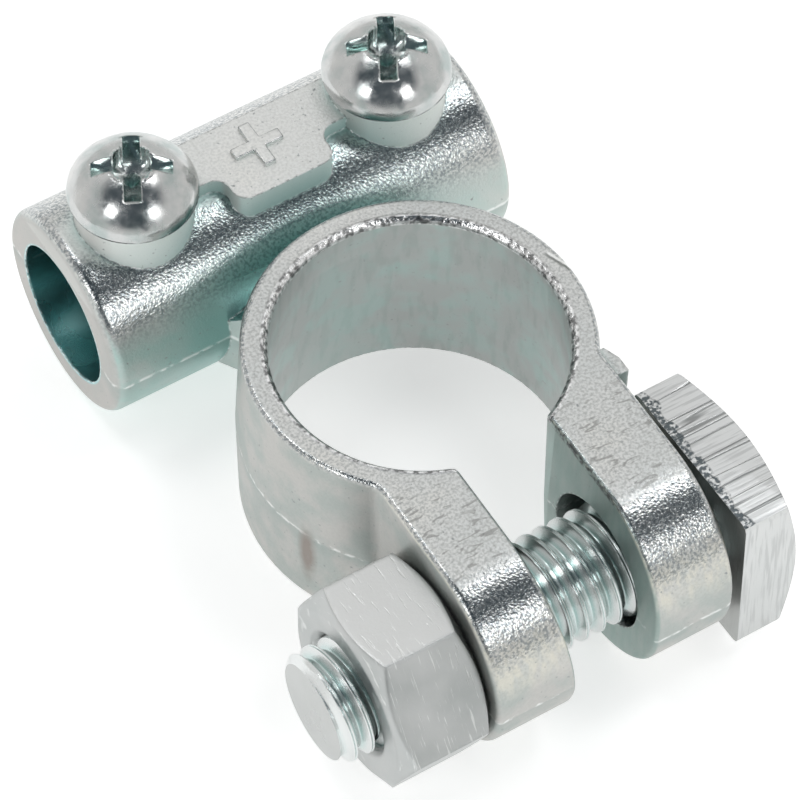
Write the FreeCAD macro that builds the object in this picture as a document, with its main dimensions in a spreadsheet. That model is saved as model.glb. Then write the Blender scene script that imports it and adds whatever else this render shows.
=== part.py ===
import FreeCAD, Part
import math
import os
import Sketcher

# Battery terminal clamp: a zinc casting that grips a tapered battery post with a square-head bolt
# and holds a cable end in a barrel with two screws.
# Frame: Z up along the axis of the post bore, X along the bolt and the barrel, towards the bolt's
# head, Y from the ears back to the barrel. The origin is on the bore's axis, at the bottom face.

os.makedirs("parts", exist_ok=True)
doc = FreeCAD.newDocument("battery_terminal_clamp")
sheet = doc.addObject("Spreadsheet::Sheet", "sizes")

SIZES = [
    # post ring
    ("post_bore_top", 19.7),
    ("post_taper", 9.0),
    ("ring_wall", 2.2),
    ("ring_height", 15.8),
    ("part_line", 7.5),
    ("ring_top_draft", 0.35),
    ("ring_bottom_draft", 0.15),
    ("ring_top_break", 0.35),
    ("outer_edge_round", 0.45),
    # slot and ears
    ("slot_width", 7.2),
    ("slot_offset", 0.4),
    ("slot_corner", 0.8),
    ("slot_left_draft", 0.85),
    ("slot_right_draft", 0.3),
    ("left_ear_inset", 3.75),
    ("right_ear_inset", 2.35),
    ("ear_run", 11.05),
    ("ear_front_flat", 0.7),
    ("ear_chin_round", 7.9),
    ("ear_inner_round", 0.3),
    ("ear_root_fillet", 1.5),
    # clamp bolt and the hole for it
    ("bolt_run", 4.0),
    ("bolt_sink", 0.15),
    ("bolt_hole", 9.6),
    ("bolt_hole_run", 3.95),
    ("bolt_hole_rise", 0.3),
    ("thread_size", 8.0),
    ("thread_flats", 0.1),
    ("bolt_length", 28.5),
    ("bolt_point", 0.6),
    ("head_flats", 13.0),
    ("head_height", 4.2),
    ("head_standoff", 1.0),
    ("head_turned", -2.4),
    ("head_face_inset", 0.05),
    ("head_chamfer_angle", 20.0),
    ("under_head_fillet", 0.4),
    # nut
    ("nut_flats", 13.0),
    ("nut_height", 6.8),
    ("nut_standoff", 0.15),
    ("nut_turned", -5.5),
    ("nut_face_inset", 0.45),
    ("nut_chamfer_angle", 30.0),
    ("nut_clearance", 0.05),
    ("nut_mouth", 9.0),
    # anti-rotation lug
    ("lug_stand", 0.9),
    ("lug_width", 2.3),
    ("lug_gap", 0.95),
    ("lug_drop", 0.5),
    ("lug_root", 1.5),
    # cable barrel and the neck that carries it
    ("barrel_size", 14.9),
    ("barrel_bore", 10.1),
    ("barrel_length", 31.1),
    ("barrel_merge", 0.26),
    ("barrel_offset", -0.5),
    ("barrel_end_round", 0.8),
    ("neck_spread", 64.0),
    ("neck_drop", 2.35),
    ("neck_saddle_rise", 1.2),
    ("neck_hollow", 4.5),
    ("neck_sink", 3.7),
    ("neck_floor", 4.0),
    ("neck_root", 1.0),
    ("neck_fillet", 1.2),
    # screw bosses and the raised pad between them
    ("screw_inset", 5.75),
    ("boss_size", 8.0),
    ("boss_rise", 2.15),
    ("boss_break", 0.25),
    ("pad_rise", 1.05),
    ("pad_width", 7.5),
    ("pad_front", 3.75),
    ("pad_band_front", 1.15),
    ("pad_band_back", 2.55),
    ("pad_corner", 1.1),
    # cable screws
    ("screw_thread", 5.0),
    ("screw_clearance", 0.05),
    ("screw_length", 8.0),
    ("screw_point", 0.6),
    ("screw_head_size", 8.8),
    ("screw_head_height", 3.3),
    ("screw_crown_radius", 5.0),
    ("screw_head_corner", 1.5),
    ("screw_head_break", 0.15),
    ("recess_turn", -28.5),
    ("recess_span", 5.4),
    ("recess_wing", 1.15),
    ("recess_hollow", 0.65),
    ("recess_depth", 1.9),
    ("recess_core", 2.3),
    ("recess_core_side", 0.6),
    ("recess_point", 0.9),
]


def fill_sheet():
    for number, (alias, amount) in enumerate(SIZES, start=1):
        sheet.set("A%d" % number, alias)
        sheet.set("B%d" % number, str(amount))
        sheet.setAlias("B%d" % number, alias)
    doc.recompute()


def size(formula):
    """Current value of a formula in the sheet's names, in millimetres."""
    return float(sheet.evalExpression(formula))


def linked(formula):
    """The same formula with every sheet name written as sizes.name."""
    words = []
    word = ""
    for letter in formula + " ":
        if letter.isalnum() or letter == "_" or (letter == "." and word):
            word += letter
            continue
        if word in ALIASES:
            word = "sizes." + word
        words.append(word + letter)
        word = ""
    return "".join(words).strip()


ALIASES = {alias for alias, amount in SIZES}
fill_sheet()


def start_body(label):
    body = doc.addObject("PartDesign::Body", label)
    body.Label = label
    return body


def start_sketch(body, name, plane_role, shift="0"):
    """Sketch on one of the body's own origin planes, moved along the plane's normal."""
    sketch = body.newObject("Sketcher::SketchObject", name)
    plane = [item for item in body.Origin.OriginFeatures if item.Role == plane_role][0]
    sketch.AttachmentSupport = [(plane, "")]
    sketch.MapMode = "FlatFace"
    sketch.setExpression(".AttachmentOffset.Base.z", linked(shift))
    return sketch


def pin(sketch, kind, *where, formula):
    """Dimension with its value bound to a formula."""
    index = sketch.addConstraint(Sketcher.Constraint(kind, *where, size(formula)))
    sketch.setExpression("Constraints[%d]" % index, linked(formula))


def pin_point(sketch, geometry, end, across, up):
    pin(sketch, "DistanceX", -1, 1, geometry, end, formula=across)
    pin(sketch, "DistanceY", -1, 1, geometry, end, formula=up)


def draw_circle(sketch, across, up, diameter):
    centre = FreeCAD.Vector(size(across), size(up), 0)
    geometry = sketch.addGeometry(Part.Circle(centre, FreeCAD.Vector(0, 0, 1), size(diameter) / 2))
    pin_point(sketch, geometry, 3, across, up)
    pin(sketch, "Diameter", geometry, formula=diameter)


def draw_outline(sketch, corners, arcs=None):
    """Closed outline through corners given as pairs of formulas.

    arcs maps the number of a side to (radius formula, bulge), where the side is an arc and bulge is
    +1 when its centre lies to the left of the direction of travel, or -1 to the right.
    """
    arcs = arcs or {}
    points = [FreeCAD.Vector(size(across), size(up), 0) for across, up in corners]
    sides = []
    for number, begin in enumerate(points):
        end = points[(number + 1) % len(points)]
        if number in arcs:
            radius, bulge = arcs[number]
            sides.append(sketch.addGeometry(arc_between(begin, end, size(radius), bulge)))
        else:
            sides.append(sketch.addGeometry(Part.LineSegment(begin, end)))
    ends = []
    for number, side in enumerate(sides):
        turned = number in arcs and arcs[number][1] < 0
        ends.append((2, 1) if turned else (1, 2))
    for number, side in enumerate(sides):
        after = (number + 1) % len(sides)
        sketch.addConstraint(
            Sketcher.Constraint("Coincident", side, ends[number][1], sides[after], ends[after][0]))
    for number, (across, up) in enumerate(corners):
        pin_point(sketch, sides[number], ends[number][0], across, up)
    for number, (radius, bulge) in arcs.items():
        pin(sketch, "Radius", sides[number], formula=radius)
    return sides


def arc_between(begin, end, radius, bulge):
    """Arc of a given radius from begin to end, the short way round."""
    half = (end - begin) * 0.5
    left = FreeCAD.Vector(-half.y, half.x, 0).normalize()
    drop = math.sqrt(max(radius ** 2 - half.Length ** 2, 1e-9))
    centre = begin + half + left * (drop * bulge)
    circle = Part.Circle(centre, FreeCAD.Vector(0, 0, 1), radius)
    first, last = (begin, end) if bulge > 0 else (end, begin)
    return Part.ArcOfCircle(circle, circle.parameter(first), circle.parameter(last))


def add_pad(body, name, sketch, length, reversed_way=False):
    pad = body.newObject("PartDesign::Pad", name)
    pad.Profile = sketch
    pad.Reversed = reversed_way
    pad.setExpression("Length", linked(length))
    doc.recompute()
    return pad


def cut_pocket(body, name, sketch, length=None, reversed_way=False, both_ways=False):
    """Pocket of a given length or through all, that must take some material away."""
    before = body.Shape.Volume
    pocket = body.newObject("PartDesign::Pocket", name)
    pocket.Profile = sketch
    pocket.Reversed = reversed_way
    if length is None:
        pocket.Type = "ThroughAll"
    else:
        pocket.setExpression("Length", linked(length))
    if both_ways:
        pocket.SideType = "Symmetric"
    doc.recompute()
    if body.Shape.Volume > before - 1e-3:
        raise ValueError(name + " cuts nothing")
    return pocket


def spin(body, name, kind, sketch, axis):
    """Full turn of a profile about one of the sketch's axes."""
    turned = body.newObject("PartDesign::" + kind, name)
    turned.Profile = sketch
    turned.ReferenceAxis = (sketch, [axis])
    turned.Angle = 360
    doc.recompute()
    return turned


def edges_where(shape, test):
    return ["Edge%d" % number for number, edge in enumerate(shape.Edges, start=1) if test(edge)]


def round_edges(body, name, radius, test, kind="Fillet"):
    """Fillet or chamfer on the edges of the body's tip that pass the test."""
    base = body.Tip
    names = edges_where(base.Shape, test)
    if not names:
        raise ValueError(name + " finds no edge")
    rounding = body.newObject("PartDesign::" + kind, name)
    rounding.Base = (base, names)
    rounding.setExpression("Radius" if kind == "Fillet" else "Size", linked(radius))
    doc.recompute()
    return rounding


def near(first, second, gap=0.02):
    return abs(first - second) < gap


def is_level(edge, height):
    box = edge.BoundBox
    return near(box.ZMin, height) and near(box.ZMax, height)


def is_upright(edge):
    box = edge.BoundBox
    return box.XLength < 0.01 and box.YLength < 0.01 and box.ZLength > 0.5


def is_arc_of(edge, radius):
    return isinstance(edge.Curve, Part.Circle) and near(edge.Curve.Radius, radius)


# Places that several pieces share, measured from the bore's axis and the bottom face.
RING = "(post_bore_top / 2 + ring_wall)"
SLOT_LEFT = "slot_offset - slot_width / 2"
SLOT_RIGHT = "slot_offset + slot_width / 2"
EAR_LEFT = "(left_ear_inset - post_bore_top / 2 - ring_wall)"
EAR_RIGHT = "(post_bore_top / 2 + ring_wall - right_ear_inset)"
EAR_FRONT = "-(post_bore_top / 2 + ring_wall + ear_run)"
BOLT_Y = "-(post_bore_top / 2 + ring_wall + bolt_run)"
BOLT_Z = "(part_line - bolt_sink)"
BARREL_Y = "(post_bore_top / 2 + ring_wall + barrel_size / 2 - barrel_merge)"
SCREW_X = {
    "left": "barrel_offset - barrel_length / 2 + screw_inset",
    "right": "barrel_offset + barrel_length / 2 - screw_inset",
}
BOSS_Z = "(part_line + barrel_size / 2 + boss_rise)"


# Post ring: the outside leans in to both faces from the line where the two halves of the mould met.
def make_ring(body):
    sketch = start_sketch(body, "ring_section", "XZ_Plane")
    draw_outline(sketch, [
        ("0", "0"),
        (RING + " - ring_bottom_draft", "0"),
        (RING, "part_line"),
        (RING + " - ring_top_draft", "ring_height"),
        ("0", "ring_height"),
    ])
    spin(body, "ring", "Revolution", sketch, "V_Axis")


# Ears: two upright plates with a rounded front. Below the mould line the front falls back in a
# flatter curve, so a faint edge runs across it. They meet in the middle until the slot parts them.
def make_ear(body, side, outer_face):
    sketch = start_sketch(body, side + "_ear_profile", "YZ_Plane", outer_face)
    rounding = "(ring_height - part_line - ear_front_flat)"
    draw_outline(sketch, [
        ("-" + RING + " / 2", "0"),
        (EAR_FRONT + " + part_line", "0"),
        (EAR_FRONT, "part_line"),
        (EAR_FRONT, "part_line + ear_front_flat"),
        (EAR_FRONT + " + " + rounding, "ring_height"),
        ("-" + RING + " / 2", "ring_height"),
    ], arcs={1: ("ear_chin_round", -1), 3: (rounding, -1)})
    reach = outer_face + " - slot_offset" if side == "right" else "slot_offset - " + outer_face
    add_pad(body, side + "_ear", sketch, reach, reversed_way=side == "right")


# Lug beside the bolt's head: the head's back flat comes up against it and can't turn.
def make_lug(body):
    sketch = start_sketch(body, "lug_section", "XY_Plane")
    front = BOLT_Y + " + head_flats / 2 + lug_gap"
    draw_outline(sketch, [
        (EAR_RIGHT + " - lug_root", front),
        (EAR_RIGHT + " + lug_stand", front),
        (EAR_RIGHT + " + lug_stand", front + " + lug_width / 2"),
        (EAR_RIGHT + " + lug_stand / 2", front + " + lug_width"),
        (EAR_RIGHT + " - lug_root", front + " + lug_width"),
    ])
    add_pad(body, "lug", sketch, "ring_height - lug_drop")


# Cable barrel behind the ring, and the neck that carries it.
def make_barrel(body):
    sketch = start_sketch(body, "barrel_section", "YZ_Plane", "barrel_offset - barrel_length / 2")
    draw_circle(sketch, BARREL_Y, "part_line", "barrel_size")
    add_pad(body, "barrel", sketch, "barrel_length")


def make_neck(body):
    """Saddle between ring and barrel: its top is a hollow curve that runs round with the ring."""
    sketch = start_sketch(body, "neck_section", "YZ_Plane")
    top = "part_line + barrel_size / 2 - neck_drop"
    draw_outline(sketch, [
        (RING + " - neck_root", "neck_floor"),
        (BARREL_Y + " - neck_sink", "neck_floor"),
        (BARREL_Y + " - neck_sink", "part_line + neck_saddle_rise"),
        (RING + " - ring_top_draft", top),
        (RING + " - neck_root", top),
    ], arcs={2: ("neck_hollow", -1)})
    neck = spin(body, "neck", "Revolution", sketch, "V_Axis")
    neck.Midplane = True
    neck.setExpression("Angle", linked("neck_spread * 1deg"))
    doc.recompute()


def make_boss(body, side):
    sketch = start_sketch(body, side + "_boss_circle", "XY_Plane", "part_line")
    draw_circle(sketch, SCREW_X[side], BARREL_Y, "boss_size")
    add_pad(body, side + "_boss", sketch, "barrel_size / 2 + boss_rise")


# Raised pad between the bosses: a band along the crest of the barrel with a block to the front,
# where such clamps carry their sign of polarity.
def make_pad(body):
    sketch = start_sketch(body, "pad_outline", "XY_Plane", "part_line")
    front = BARREL_Y + " - pad_front"
    band_front = BARREL_Y + " - pad_band_front"
    band_back = BARREL_Y + " + pad_band_back"
    draw_outline(sketch, [
        ("barrel_offset - pad_width / 2", front),
        ("barrel_offset + pad_width / 2", front),
        ("barrel_offset + pad_width / 2", band_front),
        (SCREW_X["right"], band_front),
        (SCREW_X["right"], band_back),
        (SCREW_X["left"], band_back),
        (SCREW_X["left"], band_front),
        ("barrel_offset - pad_width / 2", band_front),
    ])
    add_pad(body, "sign_pad", sketch, "barrel_size / 2 + pad_rise")


# Openings of the casting: tapered post bore, slot, bolt hole, cable bore and screw holes.
def cut_post_bore(body):
    sketch = start_sketch(body, "post_bore_section", "XZ_Plane")
    spread = "ring_height / post_taper / 2"
    over = "ring_top_break"
    slope = " / post_taper / 2"
    draw_outline(sketch, [
        ("0", "-" + over),
        ("post_bore_top / 2 + " + spread + " + " + over + slope, "-" + over),
        ("post_bore_top / 2", "ring_height"),
        ("0", "ring_height"),
    ])
    before = body.Shape.Volume
    spin(body, "post_bore", "Groove", sketch, "V_Axis")
    if body.Shape.Volume > before - 1.0:
        raise ValueError("post bore cuts nothing")


def cut_slot(body):
    """Slot, narrowest at the mould line: both halves of the mould need draft to come out of it."""
    sketch = start_sketch(body, "slot_section", "XZ_Plane", "post_bore_top / 4")
    draw_outline(sketch, [
        (SLOT_LEFT + " + slot_left_draft / 2", "0"),
        (SLOT_RIGHT + " - slot_right_draft / 2", "0"),
        (SLOT_RIGHT + " - slot_right_draft", "part_line"),
        (SLOT_RIGHT, "ring_height"),
        (SLOT_LEFT, "ring_height"),
        (SLOT_LEFT + " + slot_left_draft", "part_line"),
    ])
    cut_pocket(body, "slot", sketch, reversed_way=True)


def cut_bolt_hole(body):
    sketch = start_sketch(body, "bolt_hole_circle", "YZ_Plane")
    draw_circle(sketch, "-" + RING + " - bolt_hole_run", "part_line + bolt_hole_rise", "bolt_hole")
    cut_pocket(body, "bolt_holes", sketch, both_ways=True)


def cut_cable_bore(body):
    sketch = start_sketch(body, "cable_bore_circle", "YZ_Plane")
    draw_circle(sketch, BARREL_Y, "part_line", "barrel_bore")
    cut_pocket(body, "cable_bore", sketch, both_ways=True)


def cut_screw_hole(body, side):
    sketch = start_sketch(body, side + "_screw_hole_circle", "XY_Plane", BOSS_Z)
    draw_circle(sketch, SCREW_X[side], BARREL_Y, "screw_thread + 2 * screw_clearance")
    cut_pocket(body, side + "_screw_hole", sketch, "barrel_size / 2 + boss_rise")


def make_clamp_body():
    body = start_body("clamp_body")
    make_ring(body)
    make_ear(body, "left", EAR_LEFT)
    make_ear(body, "right", EAR_RIGHT)
    round_ear_roots(body)
    round_outer_edges(body)
    cut_post_bore(body)
    break_bore_rim(body)
    cut_slot(body)
    round_slot_corner(body)
    round_inner_edges(body)
    make_lug(body)
    make_barrel(body)
    make_neck(body)
    round_neck(body)
    make_pad(body)
    round_pad_corners(body)
    for side in SCREW_X:
        make_boss(body, side)
    cut_bolt_hole(body)
    cut_cable_bore(body)
    for side in SCREW_X:
        cut_screw_hole(body, side)
    finish_edges(body)
    return body


def round_ear_roots(body):
    """Upright inside corners where the ears' outer faces run into the ring."""
    outer_faces = (size(EAR_LEFT), size(EAR_RIGHT))

    def is_root(edge):
        middle = edge.CenterOfMass
        on_face = any(near(middle.x, face, 0.05) for face in outer_faces)
        box = edge.BoundBox
        inside = middle.y > -size(RING)
        return on_face and inside and box.XLength < 0.05 and box.YLength < 2 and box.ZLength > 2
    round_edges(body, "ear_roots", "ear_root_fillet", is_root)


def round_outer_edges(body):
    """The mould's soft edge round the top outside of ring and ears, and down the ears' outer sides."""
    outer_faces = (size(EAR_LEFT), size(EAR_RIGHT))
    top = size("ring_height")

    def is_outer(edge):
        middle = edge.CenterOfMass
        box = edge.BoundBox
        on_face = any(near(middle.x, face) for face in outer_faces) and box.XLength < 0.01
        above = box.ZMin > size("part_line") - 0.01 and not isinstance(edge.Curve, Part.BSplineCurve)
        outside = middle.y > -0.8 * size(RING)
        rim = outside and is_arc_of(edge, size(RING + " - ring_top_draft")) and is_level(edge, top)
        root = is_arc_of(edge, size("ear_root_fillet")) and is_level(edge, top)
        return rim or root or (on_face and above and not is_upright(edge) and middle.y < -size(RING) / 2)
    round_edges(body, "outer_edges", "outer_edge_round", is_outer)


def break_bore_rim(body):
    """Worn edge round the top of the post bore."""

    def is_rim(edge):
        return is_level(edge, size("ring_height")) and is_arc_of(edge, size("post_bore_top / 2"))
    round_edges(body, "bore_rim", "ring_top_break", is_rim, kind="Chamfer")


def round_slot_corner(body):
    """Soft corner where the slot's left side opens into the post bore."""
    side = size(SLOT_LEFT + " + slot_left_draft / 2")

    def is_corner(edge):
        middle = edge.CenterOfMass
        tall = edge.BoundBox.ZLength > size("ring_height") / 3
        beside = near(middle.x, side, size("slot_left_draft") / 2)
        return tall and beside and -size(RING) < middle.y < -size(RING) / 3
    round_edges(body, "slot_corner_round", "slot_corner", is_corner)


def round_inner_edges(body):
    """The same soft edge on the ears' slot sides, along the top and down the front."""
    sides = (size(SLOT_LEFT), size(SLOT_RIGHT))

    def is_inner(edge):
        middle = edge.CenterOfMass
        box = edge.BoundBox
        beside = any(abs(middle.x - side) < size("slot_left_draft") + 0.05 for side in sides)
        along = box.YLength > box.XLength
        return beside and along and box.ZMin > size("part_line") - 0.01 and box.ZMax > size("part_line") + 0.1
    round_edges(body, "inner_edges", "ear_inner_round", is_inner)


def round_neck(body):
    """Upright inside corners where the neck's two ends meet the ring and the barrel."""
    half = math.radians(size("neck_spread") / 2)
    ring = size(RING)
    barrel = size("barrel_size / 2")

    def is_corner(edge):
        middle = edge.CenterOfMass
        turn = math.atan2(abs(middle.x), middle.y)
        reach = math.hypot(middle.x, middle.y)
        off_barrel = math.hypot(middle.y - size(BARREL_Y), middle.z - size("part_line"))
        on_wall = reach < ring + 0.3 or near(off_barrel, barrel, 0.1)
        return near(turn, half, 0.01) and edge.BoundBox.ZLength > 1 and on_wall
    round_edges(body, "neck_corners", "neck_fillet", is_corner)


def round_pad_corners(body):
    front = size(BARREL_Y + " - pad_front")
    band = size(BARREL_Y + " - pad_band_front")

    def is_corner(edge):
        middle = edge.CenterOfMass
        half = size("pad_width / 2")
        beside = near(abs(middle.x - size("barrel_offset")), half)
        return is_upright(edge) and beside and (near(middle.y, front) or near(middle.y, band))
    round_edges(body, "pad_corners", "pad_corner", is_corner)


def finish_edges(body):
    """Small roundings that the mould leaves on the barrel's ends and the bosses."""
    left_end = size("barrel_offset - barrel_length / 2")
    right_end = size("barrel_offset + barrel_length / 2")

    def is_barrel_end(edge):
        middle = edge.CenterOfMass
        at_end = near(middle.x, left_end) or near(middle.x, right_end)
        return at_end and is_arc_of(edge, size("barrel_size / 2"))

    def is_boss_rim(edge):
        return is_level(edge, size(BOSS_Z)) and is_arc_of(edge, size("boss_size / 2"))

    round_edges(body, "barrel_end_rounds", "barrel_end_round", is_barrel_end)
    round_edges(body, "boss_rims", "boss_break", is_boss_rim, kind="Chamfer")


# Clamp bolt, lying along X with its square head at the right. It is drawn in place.
def make_clamp_bolt():
    body = start_body("clamp_bolt")
    under_head = EAR_RIGHT + " + head_standoff"
    sketch = start_sketch(body, "head_square", "YZ_Plane", under_head)
    draw_outline(sketch, polygon(4, "head_flats", "head_turned"))
    add_pad(body, "head", sketch, "head_height")
    trim_corners(body, "head", under_head + " + head_height", 1)
    shank = start_sketch(body, "shank_circle", "YZ_Plane", under_head)
    draw_circle(shank, BOLT_Y, BOLT_Z, "thread_size - thread_flats")
    add_pad(body, "shank", shank, "bolt_length", reversed_way=True)
    tip = size(under_head + " - bolt_length")
    radius = size("(thread_size - thread_flats) / 2")

    def is_tip(edge):
        return near(edge.CenterOfMass.x, tip) and is_arc_of(edge, radius)

    def is_under_head(edge):
        return near(edge.CenterOfMass.x, size(under_head)) and is_arc_of(edge, radius)
    round_edges(body, "point", "bolt_point", is_tip, kind="Chamfer")
    round_edges(body, "under_head", "under_head_fillet", is_under_head)
    return body


def polygon(sides, flats, turned):
    """Corners of a regular outline about the bolt's axis; flats is the width between two sides."""
    reach = "%s / 2 / cos(180 / %d * 1deg)" % (flats, sides)
    corners = []
    for number in range(sides):
        angle = "(%s + 90 + 360 / %d * (%d + 0.5)) * 1deg" % (turned, sides, number)
        across = "%s + %s * cos(%s)" % (BOLT_Y, reach, angle)
        corners.append((across, "%s + %s * sin(%s)" % (BOLT_Z, reach, angle)))
    return corners


def trim_corners(body, name, face, way):
    """Turned chamfer on the corners of head or nut: the waste outside a cone is cut away."""
    sketch = start_sketch(body, name + "_corner_waste", "XY_Plane", BOLT_Z)
    kind = "head" if name == "head" else "nut"
    outer = "%s_flats" % kind
    inner = "(%s_flats / 2 - %s_face_inset)" % (kind, kind)
    drop = "(%s - %s) * tan(%s_chamfer_angle * 1deg)" % (outer, inner, kind)
    draw_outline(sketch, [
        (face, BOLT_Y + " - " + inner),
        (face, BOLT_Y + " - " + outer),
        (face + (" - " if way > 0 else " + ") + drop, BOLT_Y + " - " + outer),
    ])
    axis = FreeCAD.Vector(0, size(BOLT_Y), 0)
    line = sketch.addGeometry(Part.LineSegment(axis, axis + FreeCAD.Vector(1, 0, 0)), True)
    sketch.addConstraint(Sketcher.Constraint("Horizontal", line))
    pin(sketch, "DistanceY", -1, 1, line, 1, formula=BOLT_Y)
    before = body.Shape.Volume
    spin(body, name + "_corner_chamfer", "Groove", sketch, "Axis0")
    if body.Shape.Volume > before - 1e-3:
        raise ValueError(name + " chamfer cuts nothing")


# Hex nut against the left ear, with both ends chamfered and a countersunk thread.
def make_clamp_nut():
    body = start_body("clamp_nut")
    seat = EAR_LEFT + " - nut_standoff"
    sketch = start_sketch(body, "hexagon", "YZ_Plane", seat)
    draw_outline(sketch, polygon(6, "nut_flats", "nut_turned"))
    add_pad(body, "hexagon_block", sketch, "nut_height", reversed_way=True)
    trim_corners(body, "nut_outer", seat + " - nut_height", -1)
    trim_corners(body, "nut_inner", seat, 1)
    hole = start_sketch(body, "thread_circle", "YZ_Plane", seat)
    bore = "(thread_size - thread_flats + 2 * nut_clearance)"
    draw_circle(hole, BOLT_Y, BOLT_Z, bore)
    cut_pocket(body, "thread_bore", hole, both_ways=True)

    def is_mouth(edge):
        return is_arc_of(edge, size(bore) / 2)
    round_edges(body, "mouths", "(nut_mouth - " + bore + ") / 2", is_mouth, kind="Chamfer")
    return body


# Cable screws: pan head with a low dome, a cross recess and a plain shank for the thread.
def make_cable_screw(side):
    body = start_body("cable_screw_" + side)
    sketch = start_sketch(body, side + "_screw_section", "XZ_Plane")
    edge = "screw_head_size / 2"
    shank = "screw_thread / 2"
    between = "(screw_crown_radius - screw_head_corner)"
    out = "(screw_head_size / 2 - screw_head_corner)"
    rise = "sqrt(%s ^ 2 - %s ^ 2)" % (between, out)
    share = "screw_crown_radius / (screw_crown_radius - screw_head_corner)"
    crown_centre = "screw_head_height - screw_crown_radius"
    draw_outline(sketch, [
        ("0", "-screw_length"),
        (shank + " - screw_point", "-screw_length"),
        (shank, "-screw_length + screw_point"),
        (shank, "0"),
        (edge + " - screw_head_break", "0"),
        (edge, "screw_head_break"),
        (edge, crown_centre + " + " + rise),
        (share + " * " + out, crown_centre + " + " + share + " * " + rise),
        ("0", "screw_head_height"),
    ], arcs={6: ("screw_head_corner", 1), 7: ("screw_crown_radius", 1)})
    spin(body, side + "_screw_turned", "Revolution", sketch, "V_Axis")
    cut_recess(body, side)
    place = FreeCAD.Vector(size(SCREW_X[side]), size(BARREL_Y), size(BOSS_Z))
    turned = FreeCAD.Rotation(FreeCAD.Vector(0, 0, 1), size("recess_turn"))
    body.Placement = FreeCAD.Placement(place, turned)
    return body


def cut_recess(body, side):
    """Cross recess: four wings that widen in hollow curves to the middle, and a pointed core."""
    cross = start_sketch(body, side + "_cross", "XY_Plane", "screw_head_height")
    wing = "recess_wing / 2"
    span = "recess_span / 2"
    bend = "(recess_wing / 2 + recess_hollow)"
    draw_outline(cross, [
        (span, wing), (span, "-" + wing), (bend, "-" + wing),
        (wing, "-" + bend), (wing, "-" + span), ("-" + wing, "-" + span), ("-" + wing, "-" + bend),
        ("-" + bend, "-" + wing), ("-" + span, "-" + wing), ("-" + span, wing), ("-" + bend, wing),
        ("-" + wing, bend), ("-" + wing, span), (wing, span), (wing, bend),
        (bend, wing),
    ], arcs={corner: ("recess_hollow", -1) for corner in (2, 6, 10, 14)})
    cut_pocket(body, side + "_wings", cross, "recess_depth")
    core = start_sketch(body, side + "_core_section", "XZ_Plane")
    draw_outline(core, [
        ("0", "screw_head_height - recess_depth - recess_point"),
        ("recess_core / 2", "screw_head_height - recess_depth + recess_core_side"),
        ("recess_core / 2", "screw_head_height"),
        ("0", "screw_head_height"),
    ])
    before = body.Shape.Volume
    spin(body, side + "_core", "Groove", core, "V_Axis")
    if body.Shape.Volume > before - 1e-3:
        raise ValueError("recess core cuts nothing")


def write_parts(bodies):
    doc.recompute()
    for item in doc.Objects:
        if "Invalid" in item.State or "Error" in item.State:
            raise ValueError(item.Label + " failed: " + str(item.State))
    for body in bodies:
        if body.Shape.isNull() or not body.Shape.isValid() or len(body.Shape.Solids) != 1:
            raise ValueError(body.Label + " is not one valid solid")
    for body in bodies:
        body.Shape.exportStep("parts/" + body.Label + ".step")
        box = body.Shape.BoundBox
        print("%-18s x %.2f..%.2f y %.2f..%.2f z %.2f..%.2f volume %.0f" % (
            body.Label, box.XMin, box.XMax, box.YMin, box.YMax, box.ZMin, box.ZMax, body.Shape.Volume))


pieces = [make_clamp_body(), make_clamp_bolt(), make_clamp_nut()]
pieces += [make_cable_screw(side) for side in SCREW_X]
write_parts(pieces)
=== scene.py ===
import math

import bmesh
import bpy
from mathutils import Matrix, Vector


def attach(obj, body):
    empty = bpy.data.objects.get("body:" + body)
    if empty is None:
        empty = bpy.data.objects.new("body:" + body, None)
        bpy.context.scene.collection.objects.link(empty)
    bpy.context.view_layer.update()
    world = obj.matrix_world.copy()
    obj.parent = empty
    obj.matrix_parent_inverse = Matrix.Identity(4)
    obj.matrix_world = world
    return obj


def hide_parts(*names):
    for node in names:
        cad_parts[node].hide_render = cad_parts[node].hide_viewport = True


# Battery terminal clamp: a zinc casting with a square-head bolt and nut that close it on the post, and
# two screws that hold the cable. X runs along the bolt, Y from the ears to the barrel, Z up the post.
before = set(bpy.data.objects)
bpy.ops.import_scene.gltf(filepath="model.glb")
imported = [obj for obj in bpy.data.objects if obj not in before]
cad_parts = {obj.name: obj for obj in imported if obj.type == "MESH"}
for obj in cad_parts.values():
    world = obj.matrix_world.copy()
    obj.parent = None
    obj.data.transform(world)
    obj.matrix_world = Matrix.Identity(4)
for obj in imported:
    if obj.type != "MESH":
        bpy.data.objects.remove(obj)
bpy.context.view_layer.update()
MM = 0.001


# Camera at the photograph's angle: about 55 degrees above the table, over the left ear, from a short
# distance with a long lens, and rolled a little.
azimuth = math.radians(-33.04)
elevation = math.radians(55.15)
roll = math.radians(1.58)
camera_distance = 340 * MM
aim_across, aim_up = -1.03 * MM, 5.22 * MM
focal_length = 5045.02 / 800
toward = Vector((math.sin(azimuth), -math.cos(azimuth), 0))
level = Vector((math.cos(azimuth), math.sin(azimuth), 0))
back = toward * math.cos(elevation) + Vector((0, 0, math.sin(elevation)))
across = level * math.cos(roll) + back.cross(level) * math.sin(roll)
up = back.cross(across)
camera_data = bpy.data.cameras.new("camera")
camera_data.sensor_width = 36
camera_data.lens = camera_data.sensor_width * focal_length
camera_data.clip_start = 0.01
camera_data.clip_end = 10
camera = bpy.data.objects.new("camera", camera_data)
bpy.context.scene.collection.objects.link(camera)
turned = Matrix((across, up, back)).transposed().to_4x4()
camera.matrix_world = Matrix.Translation(across * aim_across + up * aim_up + back * camera_distance) @ turned
bpy.context.scene.camera = camera


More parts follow.
